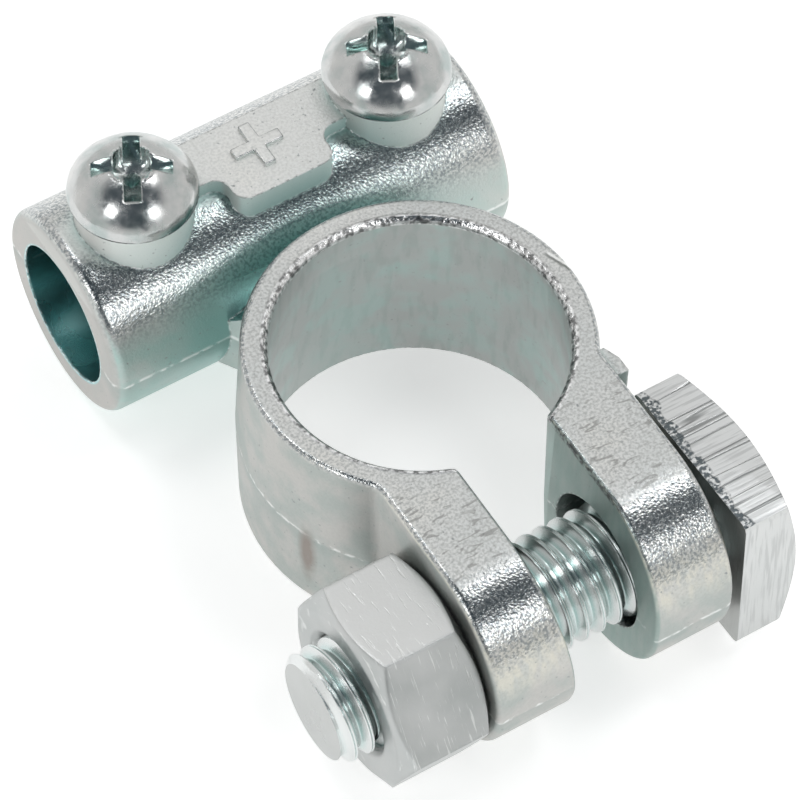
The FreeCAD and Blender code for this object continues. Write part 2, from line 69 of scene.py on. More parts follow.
# Studio: a white sweep behind the table that bends over towards the lamps, a dark room above the camera,
# and four small softboxes, two overhead and two beside the camera.
def place_node(tree, kind, inputs=None, **settings):
    """Shader node with its settings and the values of its inputs; a socket as a value is linked."""
    node = tree.nodes.new("ShaderNode" + kind)
    for name, value in settings.items():
        setattr(node, name, value)
    for name, value in (inputs or {}).items():
        if isinstance(value, bpy.types.NodeSocket):
            tree.links.new(value, node.inputs[name])
        else:
            node.inputs[name].default_value = value
    return node


def set_ramp(node, *stops):
    """Stops of a colour ramp, each a place and a grey or a colour."""
    elements = node.color_ramp.elements
    while len(elements) > 1:
        elements.remove(elements[-1])
    for number, (place, colour) in enumerate(stops):
        element = elements[0] if number == 0 else elements.new(place)
        element.position = place
        element.color = (*colour, 1) if isinstance(colour, tuple) else (colour, colour, colour, 1)
    return node


world = bpy.data.worlds.new("studio")
bpy.context.scene.world = world
world.use_nodes = True
room = world.node_tree
room.nodes.clear()
direction = place_node(room, "TexCoord").outputs["Generated"]
height = place_node(room, "SeparateXYZ", {0: direction}).outputs["Z"]
over_camera = (toward * 0.45 + Vector((0, 0, 0.89))).normalized()
aside = place_node(room, "VectorMath", {0: direction, 1: over_camera}, operation="DOT_PRODUCT")
cloth_part = set_ramp(
    place_node(room, "ValToRGB", {0: aside.outputs["Value"]}),
    (0.0, (0.80, 0.80, 0.79)), (0.56, (0.76, 0.76, 0.755)),
    (0.76, (0.09, 0.11, 0.125)), (1.0, (0.08, 0.10, 0.115)))
low_part = place_node(room, "MapRange", {0: height, 1: 0.12, 2: 0.30}, clamp=True).outputs[0]
walls = place_node(room, "MixRGB", {0: low_part, 1: (0.78, 0.78, 0.77, 1), 2: cloth_part.outputs[0]})
light = place_node(room, "Background", {0: walls.outputs[0], 1: 1.0})
place_node(room, "OutputWorld", {0: light.outputs[0]})
bpy.context.scene.view_settings.view_transform = "Standard"

bpy.ops.object.select_all(action="DESELECT")
bpy.ops.mesh.primitive_plane_add(size=1.6, location=(0, 0, -0.02 * MM))
table = bpy.context.object
table.name = "table"
table_finish = bpy.data.materials.new("pale_table")
table_finish.use_nodes = True
cloth = table_finish.node_tree
table_shader = cloth.nodes["Principled BSDF"]
table_shader.inputs["Roughness"].default_value = 0.8
table_shader.inputs["Specular IOR Level"].default_value = 0.15
table_shader.inputs["Emission Color"].default_value = (1.0, 1.0, 0.99, 1)
table_shader.inputs["Emission Strength"].default_value = 0.58
table_spot = place_node(cloth, "TexCoord").outputs["Object"]
table_tone = place_node(cloth, "TexNoise", {"Scale": 9.0, "Detail": 3.0, "Vector": table_spot})
table_grey = set_ramp(place_node(cloth, "ValToRGB", {0: table_tone.outputs[0]}), (0.3, 0.74), (0.7, 0.78))
cloth.links.new(table_grey.outputs[0], table_shader.inputs["Base Color"])
table.data.materials.append(table_finish)

lamp_distance = 0.6
for name, to_right, to_camera, to_zenith in (
        ("softbox_low_left", -0.54, 0.58, 0.61), ("softbox_low_right", 0.54, 0.58, 0.61),
        ("softbox_high_left", -0.36, -0.20, 0.91), ("softbox_high_right", 0.36, -0.20, 0.91)):
    lamp_data = bpy.data.lights.new(name, "AREA")
    lamp_data.size = 0.16
    lamp_data.energy = 0.42
    lamp = bpy.data.objects.new(name, lamp_data)
    outward = (level * to_right + toward * to_camera + Vector((0, 0, to_zenith))).normalized()
    lamp.location = outward * lamp_distance
    lamp.rotation_euler = outward.to_track_quat("Z", "Y").to_euler()
    bpy.context.scene.collection.objects.link(lamp)


# The casting: ring, ears, barrel, bosses and pad are one zinc die casting, tumbled and plated, so flats
# are satin and speckled, rounded parts are worn bright and sparkle, and hollows are painted with blue-green shade.
def start_group(name, inputs, outputs):
    """Empty node group with its sockets, its input node and its output node."""
    group = bpy.data.node_groups.new(name, "ShaderNodeTree")
    for label, kind, default in inputs:
        socket = group.interface.new_socket(label, in_out="INPUT", socket_type="NodeSocket" + kind)
        if default is not None:
            socket.default_value = default
    for label, kind in outputs:
        group.interface.new_socket(label, in_out="OUTPUT", socket_type="NodeSocket" + kind)
    return group, group.nodes.new("NodeGroupInput"), group.nodes.new("NodeGroupOutput")


def add_group(tree, group, **inputs):
    """Node of a group in a material, with its inputs set or linked."""
    node = tree.nodes.new("ShaderNodeGroup")
    node.node_tree = group
    for name, value in inputs.items():
        if isinstance(value, bpy.types.NodeSocket):
            tree.links.new(value, node.inputs[name])
        else:
            node.inputs[name].default_value = value
    return node


def blend(tree, factor, first, second):
    """Colour between first and second."""
    return place_node(tree, "MixRGB", {0: factor, 1: first, 2: second}).outputs[0]


def fade(tree, value, begin, end, low=0.0, high=1.0):
    """Value stretched from begin..end to low..high and held there."""
    return place_node(tree, "MapRange", {0: value, 1: begin, 2: end, 3: low, 4: high}, clamp=True).outputs[0]


def work(tree, operation, first, second, third=0.0):
    """Result of one sum on two or three values."""
    return place_node(tree, "Math", {0: first, 1: second, 2: third}, operation=operation).outputs[0]


def times(tree, first, *others):
    """Product of masks and numbers."""
    for other in others:
        first = work(tree, "MULTIPLY", first, other)
    return first


def add_share(tree, base, mask, share):
    """Base with a share of the mask added to it."""
    return work(tree, "MULTIPLY_ADD", mask, share, base)


def band(tree, value, middle, outer, inner):
    """Mask of a band round the middle: whole within the inner distance, gone at the outer one."""
    return fade(tree, work(tree, "ABSOLUTE", work(tree, "SUBTRACT", value, middle), 0.0), outer, inner)


def paint(tree, colour, *coats):
    """Colour with coats laid over it in turn, each a mask and a colour."""
    for mask, coat in coats:
        colour = blend(tree, mask, colour, (*coat, 1) if isinstance(coat, tuple) else coat)
    return colour


def along_way(tree, spot, way):
    """How far a spot lies along a direction."""
    return place_node(tree, "VectorMath", {0: spot, 1: way}, operation="DOT_PRODUCT").outputs["Value"]


def distance(tree, spot, centre, stretch):
    """Distance of a spot from a centre, each axis stretched."""
    gap = place_node(tree, "VectorMath", {0: spot, 1: centre}, operation="SUBTRACT").outputs[0]
    gap = place_node(tree, "VectorMath", {0: gap, 1: stretch}, operation="MULTIPLY").outputs[0]
    return place_node(tree, "VectorMath", {0: gap}, operation="LENGTH").outputs["Value"]


def noise(tree, spot, scale, detail=2.0, stretch=None, turn=(0, 0, 0), distortion=0.0):
    """Noise of a material, stretched along the axes where its marks are drawn out."""
    if stretch:
        spot = place_node(tree, "Mapping", {0: spot, 2: turn, 3: stretch}).outputs[0]
    return place_node(
        tree, "TexNoise", {"Vector": spot, "Scale": scale, "Detail": detail, "Distortion": distortion}).outputs[0]


speckle, speckle_in, speckle_out = start_group(
    "speckle", [("Vector", "Vector", None), ("Grain", "Float", 4500.0)],
    [("Height", "Float"), ("Pits", "Float"), ("Cloud", "Float")])
where = speckle_in.outputs["Vector"]
fine = noise(speckle, where, speckle_in.outputs["Grain"])
both = add_share(speckle, fine, noise(speckle, where, 1300.0, 3.0), 0.4)
pits = fade(speckle, noise(speckle, where, 3100.0, 1.0), 0.70, 0.80)
speckle.links.new(add_share(speckle, both, pits, -0.5), speckle_out.inputs["Height"])
speckle.links.new(pits, speckle_out.inputs["Pits"])
speckle.links.new(noise(speckle, where, 170.0, 4.0), speckle_out.inputs["Cloud"])

# painted shade: plated metal neutral in the open, painted blue-green where it faces other metal of the same part
hollow_shade, hollow_shade_in, hollow_shade_out = start_group(
    "hollow_shade",
    [("Open", "Color", (0.7, 0.7, 0.7, 1)), ("Deep", "Color", (0.3, 0.5, 0.5, 1)), ("Reach", "Float", 9 * MM)],
    [("Color", "Color")])
shelter = place_node(
    hollow_shade, "AmbientOcclusion", {"Distance": hollow_shade_in.outputs["Reach"]}, only_local=True, samples=6)
openness = fade(hollow_shade, shelter.outputs["AO"], 0.25, 0.85)
hollow_shade.links.new(
    blend(hollow_shade, openness, hollow_shade_in.outputs["Deep"], hollow_shade_in.outputs["Open"]), hollow_shade_out.inputs["Color"])

barrel_y, barrel_z = 19.24 * MM, 7.45 * MM
ring_top = 15.2 * MM
mould_line = 7.7 * MM
zinc = bpy.data.materials.new("cast_zinc")
zinc.use_nodes = True
tree = zinc.node_tree
shader = tree.nodes["Principled BSDF"]
spot = place_node(tree, "TexCoord").outputs["Object"]
place = place_node(tree, "SeparateXYZ", {0: spot})
x, y, z = place.outputs["X"], place.outputs["Y"], place.outputs["Z"]
facing = place_node(tree, "NewGeometry").outputs["Normal"]
lie = place_node(tree, "SeparateXYZ", {0: facing})
to_end, rise = lie.outputs["X"], lie.outputs["Z"]
end_on = work(tree, "ABSOLUTE", to_end, 0.0)
grain = add_group(tree, speckle, Vector=spot, Grain=6400.0)
cloud = grain.outputs["Cloud"]
ragged = noise(tree, spot, 2600.0, 3.0)
wander = noise(tree, spot, 420.0, 3.0)
mottle = noise(tree, spot, 5000.0, 4.0)
streak = noise(tree, spot, 1500.0, 4.0, (1.0, 1.0, 0.22))

# how a surface lies: flats stay rough, rounded upper parts are worn smooth
rounded = times(tree, fade(tree, rise, 0.40, 0.60), fade(tree, rise, 0.995, 0.96))
sidelong = fade(tree, rise, 0.75, 0.15)
soft_edge = place_node(tree, "Bevel", {"Radius": 0.22 * MM}, samples=4)
edge = fade(tree, along_way(tree, soft_edge.outputs[0], facing), 0.985, 0.86)
# edges: bright worn metal with a painted highlight, and dark pits
edge_wear_and_highlight = times(tree, edge, fade(tree, ragged, 0.46, 0.58))
dark_edge = times(tree, edge, fade(tree, ragged, 0.50, 0.40))

# where it is: in the post bore and on its rim, in the cable bore, at the barrel, at the ears
off_post = distance(tree, spot, (0, 0, 0), (1, 1, 0))
in_bore = times(tree, fade(tree, off_post, 10.9 * MM, 10.8 * MM), fade(tree, rise, 0.6, 0.3))
off_bore = fade(tree, in_bore, 1.0, 0.0)
on_rim = times(
    tree, fade(tree, off_post, 10.45 * MM, 10.3 * MM), fade(tree, z, ring_top, ring_top + 0.15 * MM))
in_hole = fade(tree, distance(tree, spot, (0, barrel_y, barrel_z), (0, 1, 1)), 5.25 * MM, 5.12 * MM)
off_hole = fade(tree, in_hole, 1.0, 0.0)
at_barrel = fade(tree, y, 9.5 * MM, 13.0 * MM)
at_ears = fade(tree, y, -8.0 * MM, -10.0 * MM)
inner_side = fade(tree, times(tree, to_end, x), -0.8 * MM, -2.0 * MM)

# line where the two halves of the mould met, standing proud in places, with a painted highlight along it and a
# painted shadow below it
over_line = work(tree, "ADD", z, work(tree, "MULTIPLY_ADD", wander, 0.4 * MM, -mould_line))
ridge = times(
    tree, band(tree, over_line, 0.0, 0.22 * MM, 0.05 * MM), fade(tree, noise(tree, spot, 1500.0), 0.42, 0.56),
    off_bore)
under_line = times(
    tree, fade(tree, over_line, -0.05 * MM, -0.12 * MM), fade(tree, over_line, -1.6 * MM, -0.2 * MM), off_bore)

# relief: grain, mould line and the ragged rim, flatter on the sides, on worn parts and in the bores
relief = add_share(tree, grain.outputs["Height"], ridge, 2.2)
relief = add_share(tree, relief, times(tree, on_rim, ragged), 3.0)
strength = add_share(tree, add_share(tree, 0.8, sidelong, -0.5), rounded, -0.20)
strength = times(
    tree, strength, fade(tree, in_hole, 0.0, 1.0, 1.0, 0.35), fade(tree, in_bore, 0.0, 1.0, 1.0, 0.5))
bump = place_node(tree, "Bump", {
    "Strength": strength, "Distance": 0.045 * MM, "Height": relief, "Normal": soft_edge.outputs[0]})
tree.links.new(bump.outputs[0], shader.inputs["Normal"])

# plain metal: a clouded grey on flats; painted shade: a darker grey on the sides and inside the post bore, with
# streaks down the post bore
tone = set_ramp(
    place_node(tree, "ValToRGB", {0: cloud}),
    (0.30, (0.65, 0.67, 0.665)), (0.55, (0.71, 0.715, 0.705)), (0.75, (0.75, 0.74, 0.705)))
side_shade_tone = blend(tree, fade(tree, wander, 0.40, 0.60), (0.53, 0.525, 0.505, 1), (0.44, 0.475, 0.455, 1))
open_colour = paint(
    tree, tone.outputs[0],
    (fade(tree, mottle, 0.58, 0.38), (0.50, 0.51, 0.50)),
    (times(tree, sidelong, 0.9), side_shade_tone),
    (in_bore, (0.44, 0.46, 0.45)),
    (times(tree, in_bore, fade(tree, streak, 0.50, 0.62, 0.0, 0.6)), (0.36, 0.40, 0.385)))

# painted shade and reflection: blue-green on the barrel's lower front, weak on its right end where a highlight is
# painted; blue-green plating in patches in the bore
# painted highlight: a pale zone on the sides of the barrel's right end, where the blue-green shade is kept weak
right_sheen = times(
    tree, at_barrel, sidelong, fade(tree, x, 5.0 * MM, 10.0 * MM), fade(tree, y, 19.5 * MM, 17.0 * MM))
green_shade_and_patches = times(
    tree, at_barrel, fade(tree, rise, 0.55, 0.30), fade(tree, y, 19.0 * MM, 25.0 * MM, 1.0, 0.4),
    fade(tree, right_sheen, 0.0, 1.0, 1.0, 0.3), fade(tree, end_on, 0.75, 0.55))
green_shade_and_patches = work(tree, "MAXIMUM", green_shade_and_patches, times(tree, in_bore, fade(tree, wander, 0.42, 0.62, 0.0, 0.4)))
green_shade_and_patches = times(tree, green_shade_and_patches, fade(tree, cloud, 0.25, 0.55, 0.55, 1.0))
green_tone = blend(tree, fade(tree, wander, 0.40, 0.60), (0.46, 0.56, 0.535, 1), (0.37, 0.57, 0.53, 1))

# painted shade: a darker slot between the ears; a warm tint on the ears' sloping faces; painted light on the walls
# of pad and bosses; pale tops of pad and bosses
slot_shade = times(tree, inner_side, at_ears, fade(tree, streak, 0.35, 0.60, 0.95, 0.6))
warm = times(
    tree, at_ears, fade(tree, rise, 0.80, 0.50), fade(tree, rise, 0.15, 0.40),
    fade(tree, streak, 0.42, 0.58, 0.2, 0.65))
# painted light: pale, rougher and less metallic walls of pad and bosses
wall_sheen = times(tree, at_barrel, sidelong, fade(tree, z, 12.4 * MM, 12.8 * MM))
pad_top = times(tree, at_barrel, fade(tree, rise, 0.95, 0.99, 0.0, 0.5))
open_colour = paint(
    tree, open_colour,
    # painted highlight on the barrel's right end
    (times(tree, right_sheen, 0.8), (0.74, 0.73, 0.70)),
    # painted blue-green shade and reflection on the barrel, with plating patches in the bore
    (green_shade_and_patches, green_tone),
    # painted shade in the slot between the ears
    (slot_shade, (0.34, 0.42, 0.395)),
    (warm, (0.75, 0.725, 0.63)),
    # painted light on the walls of pad and bosses
    (times(tree, wall_sheen, 0.9), (0.86, 0.90, 0.87)),
    (pad_top, (0.90, 0.90, 0.88)))
# painted shade colour for the casting's hollows, paler at the painted highlight on the barrel's right end
shade_colour = blend(tree, right_sheen, (0.38, 0.59, 0.565, 1), (0.60, 0.66, 0.64, 1))
hollow_shaded = add_group(tree, hollow_shade, Open=open_colour, Deep=shade_colour, Reach=9 * MM).outputs[0]

# dark glints where rounded parts mirror the room above the camera, short scratches on the ears' tops
end_face = times(tree, at_barrel, fade(tree, end_on, 0.75, 0.95, 0.0, 0.6), off_hole)
rounded = times(tree, rounded, off_hole)
glint = times(tree, rounded, fade(tree, noise(tree, spot, 4800.0, 3.0), 0.40, 0.56, 0.60, 0.0))
scratch = fade(tree, noise(tree, spot, 3000.0, 1.0, (0.28, 1.0, 1.0), (0, 0, 0.7), 0.9), 0.61, 0.67)
scratch = times(tree, scratch, at_ears, fade(tree, rise, 0.9, 0.99))
# ragged rim of the post bore: dark pits and painted bright glints
rim_pits_and_glints = set_ramp(place_node(tree, "ValToRGB", {0: ragged}), (0.38, 0.22), (0.50, 0.62), (0.60, 0.92))

# pitted line along the right ear's inner edge
pitted = times(
    tree, band(tree, x, 3.95 * MM, 0.26 * MM, 0.12 * MM), fade(tree, z, ring_top - 0.1 * MM, ring_top + 0.1 * MM),
    at_ears, fade(tree, ragged, 0.60, 0.44))

# fold left by the mould on the ring's top, drawn as a dark line with a painted highlight beside it
fold_place = (11.15 * MM, 0.69 * MM, 0)
fold_spot = place_node(tree, "VectorMath", {0: spot, 1: fold_place}, operation="SUBTRACT").outputs[0]
fold_along = along_way(tree, fold_spot, (0.401, -0.916, 0))
fold_over = along_way(tree, fold_spot, (0.916, 0.401, 0))
fold_over = work(tree, "ADD", fold_over, work(tree, "MULTIPLY_ADD", wander, 0.6 * MM, -0.3 * MM))
fold = times(
    tree, band(tree, fold_along, 0.0, 1.3 * MM, 0.9 * MM), fade(tree, z, ring_top + 0.1 * MM, ring_top + 0.3 * MM))
fold_dark = times(tree, fold, band(tree, fold_over, 0.0, 0.16 * MM, 0.05 * MM), 0.8)
fold_highlight = times(tree, fold, band(tree, fold_over, 0.22 * MM, 0.14 * MM, 0.05 * MM))

# brown smear below the nut's side of the ring
smear_gap = distance(tree, spot, (-11.2 * MM, -4.4 * MM, 5.4 * MM), (0.9, 1.3, 0.28))
smear = times(tree, fade(tree, smear_gap, 1.1 * MM, 0.4 * MM), fade(tree, wander, 0.40, 0.60))

casting_colour = paint(
    tree, hollow_shaded,
    # painted shade: blue-green inside the cable bore
    (in_hole, (0.33, 0.61, 0.62)),
    (end_face, (0.52, 0.50, 0.48)),
    (glint, (0.16, 0.20, 0.225)),
    (grain.outputs["Pits"], (0.34, 0.36, 0.36)),
    (times(tree, scratch, 0.7), (0.30, 0.30, 0.29)),
    (times(tree, under_line, fade(tree, sidelong, 0.0, 1.0, 0.0, 0.35)), (0.33, 0.40, 0.385)),
    (on_rim, rim_pits_and_glints.outputs[0]),
    (pitted, (0.16, 0.17, 0.17)),
    (fold_dark, (0.22, 0.23, 0.22)),
    (fold_highlight, (0.92, 0.93, 0.92)),
    (dark_edge, (0.25, 0.26, 0.26)),
    # painted highlight along edges and the mould line, with worn metal on the edges
    (work(tree, "MAXIMUM", edge_wear_and_highlight, times(tree, ridge, 0.7)), (0.93, 0.94, 0.93)),
    (smear, (0.33, 0.295, 0.27)))
tree.links.new(casting_colour, shader.inputs["Base Color"])
rough = fade(tree, cloud, 0.3, 0.7, 0.46, 0.54)
for mask, share in ((rounded, -0.30), (green_shade_and_patches, -0.12), (in_hole, -0.22), (wall_sheen, 0.35), (in_bore, -0.12)):
    rough = add_share(tree, rough, mask, share)
tree.links.new(rough, shader.inputs["Roughness"])
tree.links.new(add_share(tree, 1.0, wall_sheen, -0.8), shader.inputs["Metallic"])
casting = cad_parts["clamp_body"]
for material_slot in casting.material_slots:
    material_slot.material = zinc


# The sign on the pad: a raised plus with soft edges, cast in one with the clamp. It is sunk a little into
# the pad, so only its upper half shows.
def clean_start():
    """Object mode with nothing selected."""
    if bpy.context.object and bpy.context.object.mode != "OBJECT":
        bpy.ops.object.mode_set(mode="OBJECT")
    bpy.ops.object.select_all(action="DESELECT")


def set_down(piece, name, body, slot, *materials):
    """Place applied to the mesh, materials on, and the piece told which body it rides on."""
    clean_start()
    piece.select_set(True)
    bpy.context.view_layer.objects.active = piece
    bpy.ops.object.transform_apply(location=True, rotation=True, scale=True)
    piece.name = name
    for finish in materials:
        piece.data.materials.append(finish)
    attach(piece, body)


clean_start()
stroke = 0.85 * MM
arm = 1.85 * MM
pad_middle = (-0.9 * MM, 19.1 * MM, 16.0 * MM)
flatness = 0.62
bpy.ops.mesh.primitive_cube_add(size=stroke, location=pad_middle)
plus = bpy.context.object
plus_mesh = plus.data
bpy.ops.object.mode_set(mode="EDIT")
bpy.ops.mesh.select_mode(type="FACE")
for side in range(4):
    turn = Vector((math.cos(side * math.pi / 2), math.sin(side * math.pi / 2), 0))
    bpy.ops.mesh.select_all(action="DESELECT")
    shape = bmesh.from_edit_mesh(plus_mesh)
    for face in shape.faces:
        if face.normal.dot(turn) > 0.99 and abs(face.calc_center_median().length - stroke / 2) < 1e-5:
            face.select_set(True)
    bmesh.update_edit_mesh(plus_mesh)
    bpy.ops.mesh.extrude_region_move(TRANSFORM_OT_translate={"value": turn * (arm - stroke / 2)})
bpy.ops.object.mode_set(mode="OBJECT")
plus.scale.z = flatness
rounding = plus.modifiers.new("rounding", "BEVEL")
rounding.width = 0.11 * MM
rounding.segments = 3
bpy.ops.object.modifier_apply(modifier="rounding")
set_down(plus, "plus_sign", "casting", "cast_zinc", zinc)
bpy.ops.object.shade_smooth_by_angle(angle=math.radians(40))


# Clamp bolt: M8 with a square head sheared from bar, so its top shows grooves and a torn edge, and a
# rolled thread along the whole shank, all bright zinc plated.
bolt_y, bolt_z = -16.05 * MM, 7.35 * MM
head_back, head_front = 10.7 * MM, 14.9 * MM
head_middle = (head_back + head_front) / 2
head_long = head_front - head_back
head_side = 12.98 * MM
head_turn = math.radians(-2.4)
bolt_end = -17.8 * MM
pitch = 1.25 * MM

steel = bpy.data.materials.new("bright_bolt")
steel.use_nodes = True
tree = steel.node_tree
shader = tree.nodes["Principled BSDF"]
shader.inputs["Metallic"].default_value = 1.0
spot = place_node(tree, "TexCoord").outputs["Object"]
along = place_node(tree, "SeparateXYZ", {0: spot}).outputs["X"]
lie = place_node(tree, "SeparateXYZ", {0: place_node(tree, "NewGeometry").outputs["Normal"]})
rise = lie.outputs["Z"]
patch = noise(tree, spot, 260.0, 3.0)
speck = noise(tree, spot, 3600.0)
streaks = noise(tree, spot, 5200.0, 3.0, (0.06, 1.0, 1.0))
down = noise(tree, spot, 4200.0, 3.0, (1.0, 1.0, 0.05))
on_head = fade(tree, along, head_back - 0.1 * MM, head_back)
on_top = times(tree, on_head, fade(tree, rise, 0.6, 0.9))
on_side = times(tree, on_head, fade(tree, rise, 0.5, 0.2))
on_end = fade(tree, lie.outputs["X"], -0.80, -0.95)
# deep grooves of the shear, and its torn edge on the ear's side, dark with bright points
groove = times(
    tree, band(tree, noise(tree, spot, 900.0, 1.0, (0.04, 1.0, 1.0)), 0.5, 0.022, 0.004), on_top)
torn_line = add_share(tree, along, noise(tree, spot, 900.0, 3.0), 1.3 * MM)
torn = times(tree, fade(tree, torn_line, head_back + 1.35 * MM, head_back + 1.2 * MM), on_top)
soft_edge = place_node(tree, "Bevel", {"Radius": 0.10 * MM}, samples=4)
relief = times(tree, speck, 0.5)
for height, share in (
        (streaks, times(tree, on_top, 2.0)), (down, times(tree, on_side, 2.0)), (groove, -3.0),
        (times(tree, torn, speck), 6.0)):
    relief = add_share(tree, relief, height, share)
bump = place_node(tree, "Bump", {
    "Strength": 1.0, "Distance": 0.012 * MM, "Height": relief, "Normal": soft_edge.outputs[0]})
tree.links.new(bump.outputs[0], shader.inputs["Normal"])
tone = set_ramp(place_node(tree, "ValToRGB", {0: patch}), (0.3, (0.60, 0.615, 0.61)), (0.7, (0.66, 0.67, 0.665)))
top_tone = paint(tree, tone.outputs[0], (on_top, (0.74, 0.75, 0.75)))
open_colour = blend(tree, on_head, (0.74, 0.76, 0.755, 1), top_tone)
# painted shade: blue-green in the thread's roots and other hollows of the bolt
bolt_colour = add_group(tree, hollow_shade, Open=open_colour, Deep=(0.36, 0.56, 0.54, 1), Reach=0.8 * MM).outputs[0]
bolt_colour = paint(
    tree, bolt_colour,
    (times(tree, on_top, fade(tree, streaks, 0.52, 0.40, 0.0, 0.5)), (0.45, 0.46, 0.46)),
    (times(tree, on_side, fade(tree, down, 0.52, 0.40, 0.0, 0.45)), (0.40, 0.41, 0.41)),
    (times(tree, on_end, 0.8), (0.42, 0.43, 0.42)),
    (times(tree, groove, 0.75), (0.20, 0.21, 0.21)),
    (times(tree, torn, fade(tree, speck, 0.58, 0.46)), (0.13, 0.15, 0.16)))
tree.links.new(bolt_colour, shader.inputs["Base Color"])
rough = fade(tree, patch, 0.3, 0.7, 0.20, 0.28)
tree.links.new(add_share(tree, rough, on_head, 0.16), shader.inputs["Roughness"])

clean_start()
bpy.ops.mesh.primitive_cube_add(
    size=1, location=(head_middle, bolt_y, bolt_z), rotation=(head_turn, 0, 0),
    scale=(head_long, head_side, head_side))
head = bpy.context.object
bpy.ops.object.transform_apply(location=False, rotation=False, scale=True)
bpy.ops.object.mode_set(mode="EDIT")
bpy.ops.mesh.select_mode(type="EDGE")
bpy.ops.mesh.select_all(action="DESELECT")
shape = bmesh.from_edit_mesh(head.data)
for rim in shape.edges:
    if abs((rim.verts[0].co - rim.verts[1].co).normalized().x) > 0.99:
        rim.select_set(True)
bmesh.update_edit_mesh(head.data)
bpy.ops.mesh.bevel(offset=0.5 * MM, segments=2, affect="EDGES")
bpy.ops.object.mode_set(mode="OBJECT")
# the face is turned to a chamfer of 20 degrees
head_circle = 6.45 * MM
chamfer = math.radians(20)
bpy.ops.object.select_all(action="DESELECT")
bpy.ops.mesh.primitive_cone_add(
    vertices=128, radius1=head_circle + head_long / math.tan(chamfer), radius2=head_circle, depth=head_long,
    location=(head_middle, bolt_y, bolt_z), rotation=(0, math.pi / 2, 0))
cone = bpy.context.object
bpy.ops.object.select_all(action="DESELECT")
bpy.context.view_layer.objects.active = head
head.select_set(True)
turning = head.modifiers.new("turning", "BOOLEAN")
turning.operation = "INTERSECT"
turning.solver = "EXACT"
turning.object = cone
bpy.ops.object.modifier_apply(modifier="turning")
bpy.data.objects.remove(cone)


def wind_thread(root, outline, lead, turns, closed=False):
    """Thread along X: a point at the root is drawn out along one turn's outline, which is then wound up."""
    clean_start()
    bpy.ops.mesh.primitive_plane_add(size=0.1 * MM, location=(0, 0, 0))
    thread = bpy.context.object
    bpy.ops.object.mode_set(mode="EDIT")
    bpy.ops.mesh.select_mode(type="VERT")
    bpy.ops.mesh.select_all(action="DESELECT")
    shape = bmesh.from_edit_mesh(thread.data)
    for corner in list(shape.verts)[1:]:
        shape.verts.remove(corner)
    shape.verts.ensure_lookup_table()
    shape.verts[0].co = (0, 0, root)
    shape.verts[0].select_set(True)
    bmesh.update_edit_mesh(thread.data)
    for step_along, step_up in outline:
        bpy.ops.mesh.extrude_region_move(TRANSFORM_OT_translate={"value": (step_along * MM, 0, step_up * MM)})
    if closed:
        bpy.ops.mesh.select_all(action="DESELECT")
        shape = bmesh.from_edit_mesh(thread.data)
        for point in shape.verts:
            if len(point.link_edges) == 1:
                point.select_set(True)
        bmesh.update_edit_mesh(thread.data)
        bpy.ops.mesh.edge_face_add()
    bpy.ops.object.mode_set(mode="OBJECT")
    winding = thread.modifiers.new("winding", "SCREW")
    winding.axis = "X"
    winding.angle = 2 * math.pi
    winding.screw_offset = lead
    winding.iterations = turns
    winding.steps = 64
    winding.render_steps = 64
    winding.use_merge_vertices = False
    winding.use_smooth_shade = True
    bpy.ops.object.modifier_apply(modifier="winding")
    bpy.ops.object.mode_set(mode="EDIT")
    bpy.ops.mesh.select_all(action="SELECT")
    bpy.ops.mesh.remove_doubles(threshold=0.004 * MM)
    bpy.ops.mesh.normals_make_consistent(inside=False)
    bpy.ops.object.mode_set(mode="OBJECT")
    return thread


def cut_ends(way, begin, end):
    """The active piece kept between two places along a direction, with both cuts closed."""
    bpy.ops.object.mode_set(mode="EDIT")
    for place, lower in ((begin, True), (end, False)):
        bpy.ops.mesh.select_all(action="SELECT")
        bpy.ops.mesh.bisect(
            plane_co=way * place, plane_no=way, clear_inner=lower, clear_outer=not lower, use_fill=True,
            threshold=1e-7)
    bpy.ops.object.mode_set(mode="OBJECT")


def taper_points(piece, way, tip, tip_radius, slope):
    """Points near the tip of a threaded shank drawn in, so that it ends in a chamfer."""
    for point in piece.data.vertices:
        far = (point.co - tip).dot(way)
        out = point.co - tip - way * far
        most = tip_radius + far * slope
        if out.length > most:
            point.co -= out * (1 - most / out.length)


# M8 thread, one step along and up at a time: root, flank, a crest with a fold from rolling, flank, root
shank = wind_thread(3.30 * MM, (
    (0.16, 0.0), (0.08, 0.07), (0.25, 0.52), (0.07, 0.08), (0.10, -0.09), (0.10, 0.09), (0.07, -0.08),
    (0.25, -0.52), (0.17, -0.07)), pitch, 25)
shank.location = (bolt_end - 1.1 * pitch, bolt_y, bolt_z)
bpy.ops.object.transform_apply(location=True, rotation=False, scale=False)
cut_ends(Vector((1, 0, 0)), bolt_end, head_back + 0.2 * MM)
taper_points(shank, Vector((1, 0, 0)), Vector((bolt_end, bolt_y, bolt_z)), 3.42 * MM, 1.1)
bpy.ops.object.shade_smooth_by_angle(angle=math.radians(34))
bpy.ops.object.select_all(action="DESELECT")
head.select_set(True)
bpy.context.view_layer.objects.active = head
bpy.ops.object.transform_apply(location=True, rotation=True, scale=True)
bpy.ops.object.shade_smooth_by_angle(angle=math.radians(25))
shank.select_set(True)
bpy.ops.object.join()
set_down(head, "square_head_bolt", "bolt", "bolt_steel", steel)
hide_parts("clamp_bolt")


